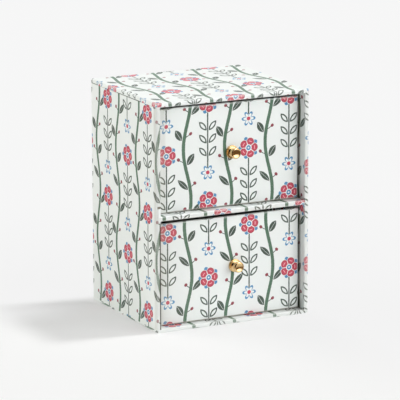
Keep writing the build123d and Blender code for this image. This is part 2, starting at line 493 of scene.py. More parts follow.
def new_material(name):
    material = bpy.data.materials.new(name)
    material.use_nodes = True
    material.node_tree.nodes.clear()
    return material


def surface(material, shade, roughness, relief=None, more=()):
    """Ends a material in its shader, and returns it. relief is the bump's height field, its
    strength and the height in metres; more holds other inputs of the shader."""
    tree = material.node_tree
    inputs = {"Base Color": shade, "Roughness": roughness, **dict(more)}
    if relief:
        bump = dict(zip(("Height", "Strength", "Distance"), relief))
        inputs["Normal"] = result(tree, "ShaderNodeBump", bump)
    shader = result(tree, "ShaderNodeBsdfPrincipled", inputs)
    new_node(tree, "ShaderNodeOutputMaterial", {"Surface": shader})
    return material


def printed_material(name):
    """Uncoated paper printed in flat inks, with painted shade. It reads the sheet's own
    millimetres, and its folds.
    """
    look = settings("print")
    unsteady = 0.55
    material = new_material(name)
    place = mesh_vector(material.node_tree, "sheet")
    x, y, _ = parts_of(place)
    fold, shade, deep_shade = parts_of(mesh_vector(material.node_tree, "crease"))
    hand_x, hand_y, ink_grain = parts_of(noise(place, 0.55, 2.0, 0.6, output=1))
    fine = noise(place, 9.0, 3.0, 0.7)
    cloud = noise(place, 0.045)
    x = x + (hand_x - 0.5) * unsteady
    y = y + (hand_y - 0.5) * unsteady
    ground = mixed(remap(cloud, 0.3, 0.7), look.paper, darker(look.paper, 0.975))
    drawn = paint(vine_layers(x, y, look) + sprig_layers(x, y, look), look.paper)
    coverage = remap(fine, 0.25, 0.6, 0.90, 1.0) * remap(ink_grain, 0.3, 0.75, 0.95, 1.0)
    rubbed = 1.0 - fold * remap(fine, 0.42, 0.62, 0.0, 0.8)
    printed = mixed(coverage * rubbed, ground, drawn)
    # Painted shade: the crease attribute's second number darkens the paper towards a beige grey,
    # its third towards near black in the deepest gaps and round nicks
    darkened = mixed(shade * remap(cloud, 0.2, 0.8, 0.7, 1.0), printed, tone(150, 143, 128))
    darkened = mixed(deep_shade, darkened, tone(58, 54, 44))
    fibres = fine + noise(place, 2.4, 3.0, 0.6) * 1.5
    roughness = remap(fine, 0.2, 0.8, 0.36, 0.52)
    return surface(material, darkened, roughness, (fibres, 0.22, 0.04 * MM))


def plain_material(name, attribute="sheet"):
    """Uncoated plain paper with a mottle of fibres. It reads the sheet's own millimetres, or
    without an attribute the object's metres."""
    shade = settings("print").lining
    material = new_material(name)
    tree = material.node_tree
    place, per_mm = (mesh_vector(tree, attribute), 1.0) if attribute else (own_place(tree), 1 / MM)
    mottle = noise(place, 0.35 * per_mm, 4.0, 0.6)
    fine = noise(place, 6.0 * per_mm, 3.0, 0.7)
    speck = remap(noise(place, 2.2 * per_mm, 0.0), 0.72, 0.80, 0.0, 0.35)
    base = mixed(remap(mottle, 0.3, 0.7), shade, darker(shade, 0.95))
    base = mixed(speck, base, tone(178, 168, 148))
    relief = (fine + mottle, 0.3, 0.05 * MM)
    roughness = remap(fine, 0.2, 0.8, 0.68, 0.85)
    return surface(material, base, roughness, relief, {"Specular IOR Level": 0.3})


def greyboard_material(name):
    """Pressed grey-brown pulp with darker and lighter flecks."""
    material = new_material(name)
    place = own_place(material.node_tree)
    pulp = noise(place, 420.0, 5.0, 0.65)
    fleck = noise(place, 1900.0, 1.0)
    base = mixed(remap(pulp, 0.3, 0.7), tone(150, 142, 128), tone(126, 119, 107))
    base = mixed(remap(fleck, 0.62, 0.72, 0.0, 0.7), base, tone(92, 86, 78))
    base = mixed(remap(fleck, 0.30, 0.22, 0.0, 0.6), base, tone(190, 184, 170))
    relief = (pulp + fleck * 0.4, 0.5, 0.12 * MM)
    roughness = remap(pulp, 0.2, 0.8, 0.82, 0.95)
    return surface(material, base, roughness, relief, {"Specular IOR Level": 0.2})


def brass_material(name, shade):
    """Turned and polished brass: fine rings from the lathe, and some tarnish in patches."""
    material = new_material(name)
    radius, height, turn = parts_of(mesh_vector(material.node_tree, "turning"))
    tarnish = noise(own_place(material.node_tree), 420.0, 4.0, 0.6)
    rings = noise(vector_of(radius * 5.0, height * 5.0, turn * 0.06), 1.0, 2.0, 0.7)
    base = mixed(remap(tarnish, 0.35, 0.75, 0.0, 0.5), shade, (0.68, 0.38, 0.14))
    roughness = remap(rings + tarnish * 0.6, 0.5, 1.1, 0.08, 0.22)
    return surface(material, base, roughness, (rings, 0.25, 0.02 * MM), {"Metallic": 1.0})


def steel_material(name):
    """Bright zinc plating with faint clouding and rub marks."""
    material = new_material(name)
    place = own_place(material.node_tree)
    cloud = noise(place, 700.0, 3.0, 0.6)
    rub = noise(place, 4200.0, 2.0, 0.6)
    base = mixed(remap(cloud, 0.3, 0.7), (0.62, 0.63, 0.64), (0.50, 0.51, 0.53))
    roughness = remap(cloud + rub * 0.5, 0.5, 1.1, 0.22, 0.42)
    return surface(material, base, roughness, (rub, 0.2, 0.02 * MM), {"Metallic": 1.0})


# Geometry groups

SOCKET_KINDS = {float: "Float", int: "Int", tuple: "Vector", type(None): "Material"}


def new_group(name, inputs):
    """A group that takes geometry and these inputs, and gives geometry. A float is a length, and
    None stands for a material. Returns the tree, and the inputs' Values by name."""
    tree = bpy.data.node_groups.new(name, "GeometryNodeTree")

    def add_socket(label, kind, in_out="INPUT"):
        return tree.interface.new_socket(
            name=label, in_out=in_out, socket_type=f"NodeSocket{kind}"
        )

    add_socket("Geometry", "Geometry")
    for label, default in inputs.items():
        socket = add_socket(label, SOCKET_KINDS[type(default)])
        if isinstance(default, float):
            socket.subtype = "DISTANCE"
        if default is not None:
            socket.default_value = default
    add_socket("Geometry", "Geometry", "OUTPUT")
    start = tree.nodes.new("NodeGroupInput")
    return tree, {socket.name: Value(socket) for socket in start.outputs if socket.name}


def finish_group(geometry, material):
    """Ends a group with real geometry in its material."""
    real = result(geometry.tree, "GeometryNodeRealizeInstances", {0: geometry})
    inputs = {"Geometry": real, "Material": material}
    dressed = result(geometry.tree, "GeometryNodeSetMaterial", inputs)
    new_node(geometry.tree, "NodeGroupOutput", {0: dressed})


def welded(geometry):
    inputs = {"Geometry": geometry, "Distance": WELD}
    return result(geometry.tree, "GeometryNodeMergeByDistance", inputs)


def mesh_number(tree, name):
    """A number that the mesh holds under that name."""
    return result(tree, "GeometryNodeInputNamedAttribute", {"Name": name}, data_type="FLOAT")


def new_object(name, data):
    made = bpy.data.objects.new(name, data)
    bpy.context.scene.collection.objects.link(made)
    return made


def applied(pattern, tree, name, **values):
    """A plain mesh object: the mesh pattern with the tree applied. values are inputs of the
    tree, by name, and the others keep their defaults."""
    source = new_object(pattern.name, pattern)
    modifier = source.modifiers.new("shape", "NODES")
    modifier.node_group = tree
    for socket in tree.interface.items_tree:
        if socket.in_out == "INPUT" and socket.name in values:
            modifier[socket.identifier] = values[socket.name]
    bpy.context.view_layer.update()
    evaluated = source.evaluated_get(bpy.context.evaluated_depsgraph_get())
    mesh = bpy.data.meshes.new_from_object(evaluated)
    bpy.data.objects.remove(source)
    bpy.data.meshes.remove(pattern)
    mesh.name = name
    return new_object(name, mesh)


def facing(right, origin, up=(0, 0, 1)):
    """Places a sheet's own x, y and face along right, up and their cross product."""
    right, up = Vector(right), Vector(up)
    place = Matrix((right, up, right.cross(up))).transposed().to_4x4()
    place.translation = Vector(origin)
    return place


def fit_piece(piece, place, body, node, sharp):
    """Puts a piece in its place, smooth but for edges of more than sharp degrees, hangs it on
    its body's empty and hides the node that it stands for."""
    mesh = piece.data
    mesh.transform(place)
    mesh.polygons.foreach_set("use_smooth", np.ones(len(mesh.polygons), bool))
    mesh.set_sharp_from_angle(angle=math.radians(sharp))
    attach(piece, body)
    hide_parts(node)


# Paper sheets: a flat pattern is cut out, then folded over the boards' edges

Crease = namedtuple("Crease", "name direction line radius")
LEFT, RIGHT, DOWN, UP = (-1, 0, 0), (1, 0, 0), (0, -1, 0), (0, 1, 0)


def arc(radius):
    """Length of paper that a right-angled fold of that outside radius takes."""
    return radius * math.pi / 2


def fold_group(name):
    """Folds what lies beyond a line through a right angle, away from the paper's face."""
    defaults = {"Direction": (1.0, 0.0, 0.0), "Line": 0.0, "Radius": 1.0 * MM}
    tree, given = new_group(name, defaults)
    radius = given["Radius"]
    position = result(tree, "GeometryNodeInputPosition")
    beyond = dot_product(position, given["Direction"]) - given["Line"]
    height = parts_of(position)[2]
    quarter = radius * (math.pi / 2)
    turn = beyond.at_least(0.0).at_most(quarter) / radius
    rest = (beyond - quarter).at_least(0.0)
    bent = radius + height
    sine, cosine = turn.math("SINE"), turn.math("COSINE")
    along = bent * sine + rest * cosine
    up = bent * cosine - radius - rest * sine
    shift = vector_math("SCALE", {0: given["Direction"], "Scale": along - beyond})
    folded = {
        "Geometry": given["Geometry"],
        "Selection": beyond.math("GREATER_THAN", 0.0) * (1.0 - mesh_number(tree, "loose")),
        "Offset": vector_math("ADD", {0: shift, 1: vector_of(0.0, 0.0, up - height)}),
    }
    moved = result(tree, "GeometryNodeSetPosition", folded)
    new_node(tree, "NodeGroupOutput", {0: moved})
    return tree


def sheet_tree(name, creases):
    """Gives a flat pattern its slack and thickness, and folds it at each crease in turn."""
    s = settings("cover")
    defaults = {"Thickness": s.thickness, "Slack": s.slack, "Slack Size": s.slack_size}
    defaults |= {"Seed": 0, "Paper": None}
    for crease in creases:
        defaults[f"{crease.name} Line"] = crease.line
        defaults[f"{crease.name} Radius"] = crease.radius
    tree, given = new_group(f"{name}_folding", defaults)
    thickness = given["Thickness"]
    waves = {
        "Vector": result(tree, "GeometryNodeInputPosition"),
        "W": given["Seed"] * WAVES_APART,
        "Scale": 1.0 / given["Slack Size"],
        "Detail": 1.0,
    }
    wave = result(tree, "ShaderNodeTexNoise", waves, noise_dimensions="4D")
    dip = wave * given["Slack"] * -1.0
    offset = vector_of(0.0, 0.0, dip + mesh_number(tree, "lift") - thickness)
    lowered = {"Geometry": given["Geometry"], "Offset": offset}
    flat = result(tree, "GeometryNodeSetPosition", lowered)
    upwards = result(tree, "ShaderNodeCombineXYZ", {"Z": 1.0})
    raised = {"Mesh": flat, "Individual": False, "Offset": upwards, "Offset Scale": thickness}
    body = result(tree, "GeometryNodeExtrudeMesh", raised, "Mesh")
    join = new_node(tree, "GeometryNodeJoinGeometry")
    for part in (result(tree, "GeometryNodeFlipFaces", {0: flat}), body):
        connect(join.inputs[0], part)
    geometry = welded(Value(join.outputs[0]))
    fold = once(bpy.data.node_groups, "fold_over_edge", fold_group)
    for crease in creases:
        inputs = {
            "Geometry": geometry,
            "Direction": crease.direction,
            "Line": given[f"{crease.name} Line"],
            "Radius": given[f"{crease.name} Radius"],
        }
        geometry = result(tree, "GeometryNodeGroup", inputs, node_tree=fold, label=crease.name)
    finish_group(geometry, given["Paper"])
    return tree


def rise(values, start, end):
    """0 up to start, 1 from end on, and even in between."""
    return np.clip((values - start) / (end - start), 0, 1)


def fall(values, start, end):
    """1 up to start, and 0 from end on."""
    return rise(values, end, start)


def between(values, start, full, fading, end):
    """0 outside start and end, and 1 from full to fading."""
    return rise(values, start, full) * fall(values, fading, end)


def within(values, *ranges):
    """Whether each value lies in one of the ranges."""
    return np.any([(values > low) & (values < high) for low, high in ranges], 0)


def outside(values, low, high):
    """How far each value lies outside the range."""
    return np.maximum(low - values, values - high)


def folds_along(creases, axis):
    """Side, start and length along that axis of each fold across it."""
    return [(c.direction[axis], c.line, arc(c.radius)) for c in creases if c.direction[axis]]


def grid_lines(stops, creases, axis):
    """Lines across that axis: at every stop, close by each other in the folds, and elsewhere no
    more than a step apart."""
    marks = {round(stop, 7) for stop in stops}
    for side, line, fold in folds_along(creases, axis):
        marks |= {round(side * (line + fold * i / FOLD_STEPS), 7) for i in range(FOLD_STEPS + 1)}
        marks.add(round(side * (line - CREASE_REACH), 7))
    marks = sorted(marks)
    lines = []
    for a, b in zip(marks, marks[1:]):
        count = max(1, math.ceil((b - a) / SHEET_STEP - 0.01))
        lines += [a + (b - a) * i / count for i in range(count)]
    lines = np.array(lines + marks[-1:])
    return lines[within(lines, (min(stops) - HAIR, max(stops) + HAIR))]


def nearness(values, creases, axis):
    """1 on a fold, falling to 0 a short way off."""
    near = np.zeros_like(values)
    for side, line, fold in folds_along(creases, axis):
        off = outside(values * side, line, line + fold)
        near = np.maximum(near, fall(off, 0.0, CREASE_REACH))
    return near


def set_numbers(mesh, name, *columns):
    """A number at each of the mesh's points, or a vector of three."""
    kind, field = ("FLOAT", "value") if len(columns) == 1 else ("FLOAT_VECTOR", "vector")
    values = np.stack(columns, 1).astype(np.float32).ravel()
    mesh.attributes.new(name, kind, "POINT").data.foreach_set(field, values)


def whole(x, y):
    return np.ones_like(x, bool)


def nothing(x, y):
    return np.zeros_like(x)


def unchanged(x, y):
    return x, y


def make_sheet(name, body, creases, x_stops, y_stops, place, origin, seed, keep=whole,
               warp=unchanged, loose=nothing, shade=nothing, deep_shade=nothing, lift=nothing,
               node=None, plain=False):
    """One sheet: cells of a grid that keep() accepts, folded at the creases and put in its place.
    warp() moves its points before the folds. loose() is 1 where it isn't folded, lift() raises
    it, and the two shade rules paint shade on it, the second a deeper one. It stands for the
    body's wrap, or for another node. origin is where the sheet's own zero lies on the printed
    roll, in millimetres."""
    xs, ys = grid_lines(x_stops, creases, 0), grid_lines(y_stops, creases, 1)
    middles = np.meshgrid((xs[1:] + xs[:-1]) / 2, (ys[1:] + ys[:-1]) / 2)
    kept = np.argwhere(keep(*middles))
    wide = len(xs)
    corner = kept[:, 0] * wide + kept[:, 1]
    faces = np.stack([corner, corner + 1, corner + wide + 1, corner + wide], 1)
    used, faces = np.unique(faces, return_inverse=True)
    flat = xs[used % wide], ys[used // wide]
    x, y = warp(*flat)
    points = np.stack([x, y, np.zeros_like(x)], 1)
    near = np.maximum(nearness(flat[0], creases, 0), nearness(flat[1], creases, 1))
    pattern = bpy.data.meshes.new(f"{name}_pattern")
    pattern.from_pydata(points.tolist(), [], faces.reshape(-1, 4).tolist())
    set_numbers(
        pattern, "sheet", x / MM + origin[0], y / MM + origin[1],
        np.full_like(x, seed * NOISE_APART),
    )
    set_numbers(pattern, "crease", near, shade(*flat), deep_shade(*flat))
    set_numbers(pattern, "loose", loose(*flat))
    set_numbers(pattern, "lift", lift(*flat))
    if plain:
        slot, paper = "plain_paper", once(bpy.data.materials, "plain_sheet_paper", plain_material)
    else:
        slot = "printed_paper"
        paper = once(bpy.data.materials, "printed_paper_cover", printed_material)
    piece = applied(pattern, sheet_tree(name, creases), name, Seed=seed, Paper=paper)
    fit_piece(piece, place, body, node or f"{body}_wrap", sharp=40)


# The case's sheets


def cap_sheet(name, flap, wall, open_middle, place, origin, seed):
    """The sheet over the top, or the one under the base, which is open inside its margin. It has
    flaps over the sides and the back, and a lip folded over the front edge and into the bay."""
    s = settings("cover")
    x_line, y_line = HALF_WIDTH - s.arris, HALF_DEPTH - s.arris
    arc_end = y_line + arc(s.arris)
    mouth_line = arc_end + wall - s.arris - s.mouth
    front_end = mouth_line + arc(s.mouth) + s.bay_turn_in - s.mouth
    rear_end = arc_end + s.margin - s.arris
    side_end = x_line + arc(s.arris) + flap - s.arris
    turn_half = BAY_HALF + TUCK
    middle_x, middle_y = HALF_WIDTH - s.margin, HALF_DEPTH - s.margin
    creases = [
        Crease("Mouth", DOWN, mouth_line, s.mouth),
        Crease("Front Arris", DOWN, y_line, s.arris),
        Crease("Rear Arris", UP, y_line, s.arris),
        Crease("Left Arris", LEFT, x_line, s.arris),
        Crease("Right Arris", RIGHT, x_line, s.arris),
    ]

    def keep(x, y):
        kept = (abs(x) < x_line) & ((y > -mouth_line) | (abs(x) < turn_half))
        kept |= (abs(x) > x_line) & (abs(y) < arc_end)
        if open_middle:
            kept &= (abs(x) > middle_x) | (abs(y) > middle_y)
        return kept

    def uneven(x, y):
        """The flap's cut edge wanders a little, as cut by hand."""
        push = rise(abs(x), x_line + arc(s.arris), side_end)
        wander = 0.22 * np.sin(y / (17 * MM) + seed) + 0.08 * np.sin(y / (6.1 * MM))
        return x + np.sign(x) * push * wander * MM, y

    def shade(x, y):
        """The lip under the drawers is darker, and the one above them isn't."""
        lip = y_line + 0.5 * arc(s.arris)
        return rise(-y, lip, lip + 0.4 * MM) * (0.17 if open_middle else 0.0)

    make_sheet(
        name, "case", creases,
        (-side_end, -middle_x, -turn_half, 0.0, turn_half, middle_x, side_end),
        (-front_end, -middle_y, 0.0, middle_y, rear_end),
        place, origin, seed, keep=keep, warp=uneven, shade=shade,
    )


def side_sheet(name, side, origin, seed, nicks=()):
    """A side's sheet: the side itself, the front edge, the turn-ins of both bays and a rear
    margin. nicks are places where the paper falls short of the one above it, each by its low and
    high end and by its start and end ahead of the front arris."""
    s = settings("cover")
    front, rear = (RIGHT, LEFT) if side < 0 else (LEFT, RIGHT)
    radius, mouth = s.arris - s.layer, s.mouth - s.layer
    line = HALF_DEPTH - s.arris
    mouth_line = line + arc(radius) + HALF_WIDTH - s.arris - (BAY_HALF + s.mouth)
    arc_end = mouth_line + arc(mouth)
    turn_end = arc_end + s.bay_turn_in - s.mouth
    rear_end = line + arc(radius) + s.margin + 5 * MM
    creases = [
        Crease("Mouth", front, mouth_line, mouth),
        Crease("Front Arris", front, line, radius),
        Crease("Rear Arris", rear, line, radius),
    ]
    low, high = 0.8 * MM, HEIGHT - 1.6 * MM
    flap_edge = HEIGHT - s.top_flap
    shelf_low, shelf_high = LOWER_CEILING - TUCK, UPPER_FLOOR + TUCK
    reveal, slit = 0.9 * MM, 0.05 * MM
    edges = [(LOWER_FLOOR - reveal, shelf_low), (shelf_high, UPPER_CEILING + reveal)]
    turns = [(LOWER_FLOOR + slit, shelf_low), (shelf_high, UPPER_CEILING - slit)]
    drawer_fronts = [
        arc_end - s.mouth + drawer_low.y - CASE_LOW.y
        for drawer_low in (LOWER_DRAWER_LOW, UPPER_DRAWER_LOW)
    ]
    # Where each mark starts, and where it has grown to its full strength
    band_start, band_full = line - 5.5 * MM, line - 3.5 * MM
    under_flap, under_flap_full = flap_edge - 0.7 * MM, flap_edge - 0.3 * MM
    gap_shade_start, gap_shade_full = mouth_line - 0.8 * MM, mouth_line - 0.6 * MM
    beside = (-2.5 * MM, 0.5 * MM, 3 * MM, 4 * MM)

    def forward(x):
        """How far a point is ahead of the sheet's zero, towards the front."""
        return -side * x

    def keep(x, y):
        ahead = forward(x)
        kept = (ahead < mouth_line) | ((ahead < arc_end) & within(y, *edges)) | within(y, *turns)
        for heights, reach in nicks:
            kept &= ~(within(y, heights) & within(ahead - line, reach))
        return kept

    def shade(x, y):
        """Painted shade: a band beside the front arris, deeper towards the top, a thin shadow under
        the edge of the top flap, and shade beside each drawer's front. The front edge is darker
        too."""
        ahead = forward(x)
        band = between(ahead, band_start, band_full, line - 0.3 * MM, line + 0.3 * MM)
        flap = rise(y, under_flap, under_flap_full) * (ahead < line)
        drawer = between(ahead - np.where(y < shelf_high, *drawer_fronts), *beside)
        edge_start = line + 0.4 * arc(radius)
        edge_darkening = rise(ahead, edge_start, edge_start + 0.5 * MM) * (ahead < mouth_line)
        marks = band * (0.22 + 0.12 * y / HEIGHT) + flap * 0.45 + drawer * 0.6
        return marks + edge_darkening * (0.26 if side < 0 else 0.14)

    def deep_shade(x, y):
        """Painted deep shade in the lower bay's left arris, and round each nick."""
        ahead = forward(x)
        gap_shade = rise(ahead, gap_shade_start, gap_shade_full) * within(y, edges[0])
        gap_shade *= (ahead < arc_end + 0.1 * MM) * (side < 0)
        for heights, reach in nicks:
            off = np.maximum(outside(y, *heights), outside(ahead - line, *reach))
            gap_shade = np.maximum(gap_shade, fall(off, 0.0, NICK_RIM))
        return gap_shade

    def lift(x, y):
        """Extra layers under the paper raise it towards the front arris."""
        ahead = forward(x)
        layers = between(ahead, line - 6 * MM, line, line, line + 0.6 * MM)
        return layers * s.layer * 0.6

    y_stops = [low, high, under_flap, under_flap_full, *sum(edges + turns, ())]
    stops = [-rear_end, turn_end, band_start, band_full, gap_shade_start, gap_shade_full]
    stops += [front_end + off for front_end in drawer_fronts for off in beside]
    for heights, reach in nicks:
        for off in (0.0, NICK_RIM):
            y_stops += [heights[0] - off, heights[1] + off]
            stops += [line + reach[0] - off, line + reach[1] + off]
    place = facing((0, side, 0), (side * (HALF_WIDTH - s.layer), 0, 0))
    make_sheet(
        name, "case", creases, [forward(stop) for stop in stops], y_stops, place, origin, seed,
        keep=keep, shade=shade, deep_shade=deep_shade, lift=lift,
    )


def shelf_strip():
    """The strip folded round the shelf's front edge. Its left end is glued over the side's front
    edge, and its right end runs down the wall of the lower bay."""
    s = settings("cover")
    radius = s.mouth
    low, high = LOWER_CEILING + radius, UPPER_FLOOR - radius
    reach = arc(radius) + s.bay_turn_in - radius
    body = BAY_HALF + TUCK
    slit = body + 0.08 * MM
    tip = BAY_HALF + s.strip_end
    tab = (LOWER_CEILING - 1.3 * MM, UPPER_FLOOR + s.tab_rise)
    creases = [Crease("Upper Edge", UP, high, radius), Crease("Lower Edge", DOWN, -low, radius)]

    def keep(x, y):
        joint = (abs(x) < slit) & within(y, (low, high))
        return (abs(x) < body) | joint | ((x < -slit) & within(y, tab))

    def taper(x, y):
        """The hand-cut end narrows towards its tip."""
        out = rise(-x, slit, tip)
        return x, y - 0.06 * out * (y - (low + high) / 2)

    make_sheet(
        "shelf_edge_paper", "case", creases,
        (-tip, -slit, -body, 0.0, body, slit), (low - reach, low, high, high + reach, *tab),
        facing((1, 0, 0), (0, -HALF_DEPTH, 0)), (-9.0, 7.5), 31, node="shelf_edge_strip",
        keep=keep, warp=taper, loose=lambda x, y: abs(x) > slit - HAIR,
        shade=lambda x, y: (y < high) * 0.16,
    )
    half_tab, set_back = 5.1 * MM, 5.8 * MM
    make_sheet(
        "shelf_wall_tab", "case", [], (-half_tab, 0.0, half_tab),
        (LOWER_CEILING - s.wall_tab, LOWER_CEILING - TUCK),
        facing((0, -1, 0), (BAY_HALF, set_back - HALF_DEPTH, 0)), (54.9, 7.5), 37,
        node="shelf_edge_strip",
    )


class CaseCover(Operator):
    """Cut, fold and lay the case's printed sheets"""

    bl_idname = "storage_box.case_cover"
    bl_label = "Case Cover"

    def execute(self, context):
        s = settings("cover")
        above = facing((1, 0, 0), (0, 0, HEIGHT), (0, 1, 0))
        below = facing((-1, 0, 0), (0, 0, 0), (0, 1, 0))
        top_wall = HEIGHT - UPPER_CEILING
        cap_sheet("top_sheet", s.top_flap, top_wall, False, above, (18.0, 40.0), 3)
        cap_sheet("base_sheet", s.base_flap, LOWER_FLOOR, True, below, (4.0, 9.0), 5)
        mouth_edge = UPPER_CEILING + s.mouth
        tab_top = UPPER_FLOOR + s.tab_rise
        left_nicks = (
            ((mouth_edge - 1.5 * MM, mouth_edge + 0.1 * MM), (-4.8 * MM, -1.2 * MM)),
            ((tab_top - 0.2 * MM, tab_top + 1.3 * MM), (1.3 * MM, 3.9 * MM)),
        )
        side_sheet("left_side_sheet", -1, (12.0, 3.0), 7, left_nicks)
        side_sheet("right_side_sheet", 1, (2.5, 17.0), 11)
        shelf_strip()
        low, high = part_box("back_paper")
        make_sheet(
            "back_sheet", "case", [], (-high.x, 0.0, high.x), (low.z, high.z),
            facing((-1, 0, 0), (0, high.y, 0)), (6.0, 21.0), 13, node="back_paper",
        )
        low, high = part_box("base_paper")
        make_sheet(
            "underside_sheet", "case", [], (-high.x, 0.0, high.x), (low.y, high.y),
            below, (0.0, 0.0), 17, node="base_paper", plain=True,
        )
        return {"FINISHED"}


# The drawers' sheets


def drawer_sheets(which, origin, seed):
    """The four walls of a drawer, each the outside, folded over the rim with mitred ends and
    under the base, and the underside."""
    s = settings("cover")
    body = f"{which}_drawer"
    low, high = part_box(f"{which}_drawer_wrap")
    height, half = high.z - low.z, high.x
    line, rear_line, front_line = (end - s.drawer_arris for end in (half, high.y, -low.y))
    foot, play = 1.3 * MM, 0.06 * MM
    left_shade_stops = np.array(LEFT_EDGE_SHADE[which][0]) * MM - half

    def wall(label, creases, ends, rim_ends, layer, place, shift, marks=np.zeros_like, stops=()):
        """One wall. ends and rim_ends are its low and high x outside and over the rim. It lies a
        layer deep under its neighbours. shift moves its print, in millimetres, and its seed.
        marks() gives its own painted shade, with grid lines at stops."""
        radius, inner = s.drawer_arris - layer, s.rim - layer
        rim_line = height - s.drawer_arris
        arc_end = rim_line + arc(radius)
        inner_line = arc_end + DRAWER_WALL - s.drawer_arris - s.rim
        inner_end = inner_line + arc(inner)
        top_end = inner_end + s.drawer_turn_in - s.rim
        base_arc_end = s.drawer_arris - arc(radius)
        base_end = base_arc_end - (s.margin - s.drawer_arris)
        rim_low, rim_high = rim_ends

        def keep(x, y):
            return within(x, rim_ends) | within(y, (base_arc_end, arc_end))

        def mitre(x, y):
            """The parts over the rim and under the base slope in, to meet their neighbours. A
            grid line that its rounding put outside them stays square."""
            tongue = within(x, (rim_low - 1e-9, rim_high + 1e-9))
            over_rim = DRAWER_WALL - s.drawer_arris + play
            depth = np.maximum(rise(y, arc_end, inner_end) * over_rim, base_arc_end - y)
            low_end, high_end = rim_low + depth, rim_high - depth
            part = (x - rim_low) / (rim_high - rim_low)
            return np.where(tongue, low_end + part * (high_end - low_end), x), y

        def shade(x, y):
            """Painted shade along the foot of the wall, and the wall's own marks."""
            return np.maximum(fall(y, foot - 0.7 * MM, foot) * 0.9, marks(x))

        folds = [
            Crease("Inner Rim", UP, inner_line, inner),
            Crease("Rim", UP, rim_line, radius),
            Crease("Base Arris", DOWN, -s.drawer_arris, radius),
        ]
        make_sheet(
            f"{which}_{label}_sheet", body, folds + creases,
            (*ends, *rim_ends, *stops), (base_end, top_end, 0.9 * MM, foot), place,
            (origin[0] + shift[0], origin[1] + shift[1]), seed + shift[2],
            keep=keep, warp=mitre, shade=shade,
        )

    def front_marks(x):
        """Painted shade on the front: towards its left edge, where the case's left wall shades it,
        and on its right arris, in the gap beside the right wall.
        """
        right = rise(x, line, line + 0.3 * MM) * (x < line + arc(s.drawer_arris) + 0.1 * MM)
        left_shade = np.interp(x, left_shade_stops, LEFT_EDGE_SHADE[which][1])
        return left_shade + right * RIGHT_ARRIS_SHADE[which]

    end = line + arc(s.drawer_arris) + s.side_margin - s.drawer_arris
    corners = [
        Crease("Left Arris", LEFT, line, s.drawer_arris),
        Crease("Right Arris", RIGHT, line, s.drawer_arris),
    ]
    wall(
        "front", corners, (-end, end), (-line, line), 0.0, facing((1, 0, 0), (0, low.y, low.z)),
        (0, 0, 0), front_marks, (*left_shade_stops, line + 0.3 * MM),
    )
    wall(
        "back", [], (-line, line), (-line, line), 0.0, facing((-1, 0, 0), (0, high.y, low.z)),
        (40, 0, 1),
    )
    under = s.drawer_arris - s.layer
    rear_end = rear_line + arc(under) + s.side_margin - s.drawer_arris
    front_end = front_line + 0.7 * MM
    for side, label, rear in ((-1, "left", LEFT), (1, "right", RIGHT)):
        wall(
            label, [Crease("Rear Arris", rear, rear_line, under)],
            sorted((side * rear_end, -side * front_end)),
            sorted((side * rear_line, -side * front_line)), s.layer,
            facing((0, side, 0), (side * (half - s.layer), 0, low.z)),
            (15 * side, 20, 2 + side),
        )
    inset = s.margin + 0.05 * MM
    make_sheet(
        f"{which}_underside_sheet", body, [], (inset - half, 0.0, half - inset),
        (low.y + inset, high.y - inset), facing((-1, 0, 0), (0, 0, low.z), (0, 1, 0)),
        (3.0, 5.0), seed + 4, plain=True,
    )


class DrawerCovers(Operator):
    """Cut, fold and lay the printed sheets of both drawers"""

    bl_idname = "storage_box.drawer_covers"
    bl_label = "Drawer Covers"

    def execute(self, context):
        drawer_sheets("upper", (0.0, 12.0), 41)
        drawer_sheets("lower", (0.0, -20.0), 53)
        return {"FINISHED"}


class BoardsAndLinings(Operator):
    """Give the greyboard and the plain linings their surfaces"""

    bl_idname = "storage_box.boards"
    bl_label = "Boards and Linings"

    def execute(self, context):
        board = greyboard_material("pressed_greyboard")
        lining = plain_material("lining_paper", None)
        for name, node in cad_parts.items():
            if name.endswith("_board"):
                node.material_slots[0].material = board
            elif name.endswith("_lining"):
                node.material_slots[0].material = lining
        return {"FINISHED"}


# The knobs. A section's points are complex numbers: radius, and height times i


def arc_round(centre, start, sweep, count):
    """Points from start round centre, through sweep radians."""
    turns = (sweep * i / count for i in range(count + 1))
    return [centre + (start - centre) * cmath.exp(1j * turn) for turn in turns]


def arc_through(a, b, c, count):
    """Points on the arc from a to c by way of b."""
    ratio = (c - a) / (b - a)
    centre = a + (b - a) * (ratio - abs(ratio) ** 2) / (2j * ratio.imag)
    sweep = sum(cmath.phase((q - centre) / (p - centre)) for p, q in ((a, b), (b, c)))
    return arc_round(centre, a, sweep, count)


def knob_profile(k):
    """Half section of the knob, from the middle of its foot to the middle of its dished face."""
    flange, neck, head = k.flange_diameter / 2, k.neck_diameter / 2, k.head_diameter / 2
    face = k.face_diameter / 2
    crown = complex(flange - k.flange_crown, k.flange_thickness)
    crown_top = crown + 1j * k.flange_crown
    head_back, head_front = (complex(face, z) for z in (k.length - k.head_thickness, k.length))
    waist = complex(neck, (crown_top + head_back).imag / 2)
    bulge = complex(head, k.length - k.head_thickness / 2)
    points = [0j, complex(flange)]
    points += arc_round(crown, crown + k.flange_crown, math.pi / 2, 6)
    points += arc_through(crown_top, waist, head_back, 18)
    points += arc_through(head_back, bulge, head_front, 16)
    sphere = (face**2 + k.dish**2) / (2 * k.dish)
    for i in range(1, 13):
        radius = face * (1 - i / 12)
        sunk = k.dish - sphere + math.sqrt(sphere**2 - radius**2)
        points.append(complex(radius, k.length - sunk))
    clean = points[:1]
    for point in points[1:]:
        if abs(point - clean[-1]) > 0.005 * MM:
            clean.append(point)
    return clean


